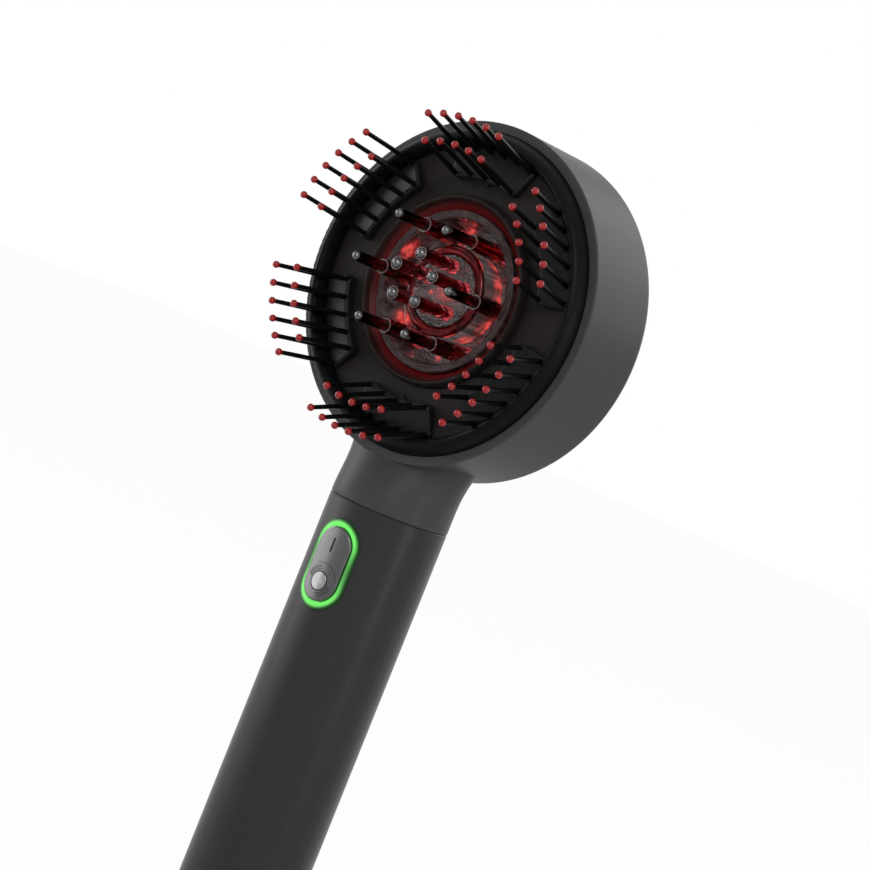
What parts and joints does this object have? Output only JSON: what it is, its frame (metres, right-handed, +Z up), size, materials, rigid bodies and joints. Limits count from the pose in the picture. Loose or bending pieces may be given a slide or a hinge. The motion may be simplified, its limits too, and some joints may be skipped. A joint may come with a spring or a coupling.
{
  "type": "electric scalp massager",
  "caption": "Handheld electric scalp massager: round comb head with leaning pins, clear roller-ball liquid applicator, slim round handle and rocker key.",
  "frame": {"origin": "centre of the flat end of the handle", "axes": "+Z up the handle towards the head, -Y the way the combs and the key face, +X to the right seen from the front"},
  "size_m": [0.0826, 0.0445, 0.2053],
  "materials": {
    "head_plastic": "fine matte",
    "handle_plastic": "fine matte",
    "bezel_black": "satin",
    "face_dark": "satin, faintly translucent brown",
    "pad_black": "satin",
    "pin_black": "satin",
    "tip_red": "gloss",
    "red_clear": "gloss, translucent",
    "clear_plastic": "clear gloss",
    "red_rubber": "satin",
    "black_rubber": "matte",
    "bright_plastic": "bright metallised",
    "red_emitter": "clear gloss",
    "board_white": "satin",
    "board_green": "satin",
    "chip_black": "matte",
    "steel": "brushed",
    "ball_steel": "polished",
    "brass": "turned",
    "key_metal": "brushed satin",
    "green_clear": "translucent, lit",
    "inner_plastic": "matte",
    "cell_metal": "shrink sleeve"
  },
  "bodies": {
    "body": {"base_cap": "handle_plastic", "battery_cell": "cell_metal", "bezel_ring": "bezel_black", "board_parts": "chip_black", "board_screws": "steel", "charge_board": "board_green", "charge_socket": "steel", "chassis": "inner_plastic", "comb_pad_1": "pad_black", "comb_pad_2": "pad_black", "comb_pad_3": "pad_black", "comb_pad_4": "pad_black", "comb_pad_5": "pad_black", "comb_pad_6": "pad_black", "comb_pins_1": "pin_black", "comb_pins_2": "pin_black", "comb_pins_3": "pin_black", "comb_pins_4": "pin_black", "comb_pins_5": "pin_black", "comb_pins_6": "pin_black", "comb_tips_1": "tip_red", "comb_tips_2": "tip_red", "comb_tips_3": "tip_red", "comb_tips_4": "tip_red", "comb_tips_5": "tip_red", "comb_tips_6": "tip_red", "emitter_board": "board_white", "face_plate": "face_dark", "handle_shell": "handle_plastic", "head_housing": "head_plastic", "key_bracket": "inner_plastic", "key_light_guide": "green_clear", "light_emitters": "red_emitter", "light_ring": "red_clear", "main_board": "board_green", "motor_can": "steel", "motor_cradle": "black_rubber", "reflector": "bright_plastic", "tact_switches": "chip_black"},
    "key": {"rocker_key": "key_metal"},
    "applicator": {"applicator_cup": "clear_plastic", "needle_tubes": "clear_plastic", "hub_gasket": "red_rubber", "cup_seal": "black_rubber", "liquid_tank": "clear_plastic"},
    "rotor": {"motor_shaft": "steel", "eccentric_weight": "brass"},
    "roller_ball_01": {"roller_ball_01": "ball_steel"},
    "roller_ball_02": {"roller_ball_02": "ball_steel"},
    "roller_ball_03": {"roller_ball_03": "ball_steel"},
    "roller_ball_04": {"roller_ball_04": "ball_steel"},
    "roller_ball_05": {"roller_ball_05": "ball_steel"},
    "roller_ball_06": {"roller_ball_06": "ball_steel"},
    "roller_ball_07": {"roller_ball_07": "ball_steel"},
    "roller_ball_08": {"roller_ball_08": "ball_steel"},
    "roller_ball_09": {"roller_ball_09": "ball_steel"},
    "roller_ball_10": {"roller_ball_10": "ball_steel"},
    "roller_ball_11": {"roller_ball_11": "ball_steel"}
  },
  "joints": [
    {"name": "key_rock", "type": "hinge", "parent": "body", "child": "key", "pos_m": [0, -0.01014, 0.0951], "axis": [1, 0, 0], "range_deg": [-2.5, 2.5], "stiffness_Nm_per_rad": 0.1},
    {"name": "applicator_turn", "type": "hinge", "parent": "body", "child": "applicator", "pos_m": [0, -0.0113, 0.164], "axis": [0, -1, 0], "range_deg": [0, 35]},
    {"name": "motor_spin", "type": "hinge", "parent": "body", "child": "rotor", "pos_m": [0, 0.001, 0.1325], "axis": [0, 0, 1], "continuous": true},
    {"name": "ball_01_press", "type": "slide", "parent": "applicator", "child": "roller_ball_01", "axis": [0, 1, 0], "range_m": [0, 0.0003], "stiffness_N_per_m": 20},
    {"name": "ball_02_press", "type": "slide", "parent": "applicator", "child": "roller_ball_02", "axis": [0, 1, 0], "range_m": [0, 0.0003], "stiffness_N_per_m": 20},
    {"name": "ball_03_press", "type": "slide", "parent": "applicator", "child": "roller_ball_03", "axis": [0, 1, 0], "range_m": [0, 0.0003], "stiffness_N_per_m": 20},
    {"name": "ball_04_press", "type": "slide", "parent": "applicator", "child": "roller_ball_04", "axis": [0, 1, 0], "range_m": [0, 0.0003], "stiffness_N_per_m": 20},
    {"name": "ball_05_press", "type": "slide", "parent": "applicator", "child": "roller_ball_05", "axis": [0, 1, 0], "range_m": [0, 0.0003], "stiffness_N_per_m": 20},
    {"name": "ball_06_press", "type": "slide", "parent": "applicator", "child": "roller_ball_06", "axis": [0, 1, 0], "range_m": [0, 0.0003], "stiffness_N_per_m": 20},
    {"name": "ball_07_press", "type": "slide", "parent": "applicator", "child": "roller_ball_07", "axis": [0, 1, 0], "range_m": [0, 0.0003], "stiffness_N_per_m": 20},
    {"name": "ball_08_press", "type": "slide", "parent": "applicator", "child": "roller_ball_08", "axis": [0, 1, 0], "range_m": [0, 0.0003], "stiffness_N_per_m": 20},
    {"name": "ball_09_press", "type": "slide", "parent": "applicator", "child": "roller_ball_09", "axis": [0, 1, 0], "range_m": [0, 0.0003], "stiffness_N_per_m": 20},
    {"name": "ball_10_press", "type": "slide", "parent": "applicator", "child": "roller_ball_10", "axis": [0, 1, 0], "range_m": [0, 0.0003], "stiffness_N_per_m": 20},
    {"name": "ball_11_press", "type": "slide", "parent": "applicator", "child": "roller_ball_11", "axis": [0, 1, 0], "range_m": [0, 0.0003], "stiffness_N_per_m": 20}
  ]
}
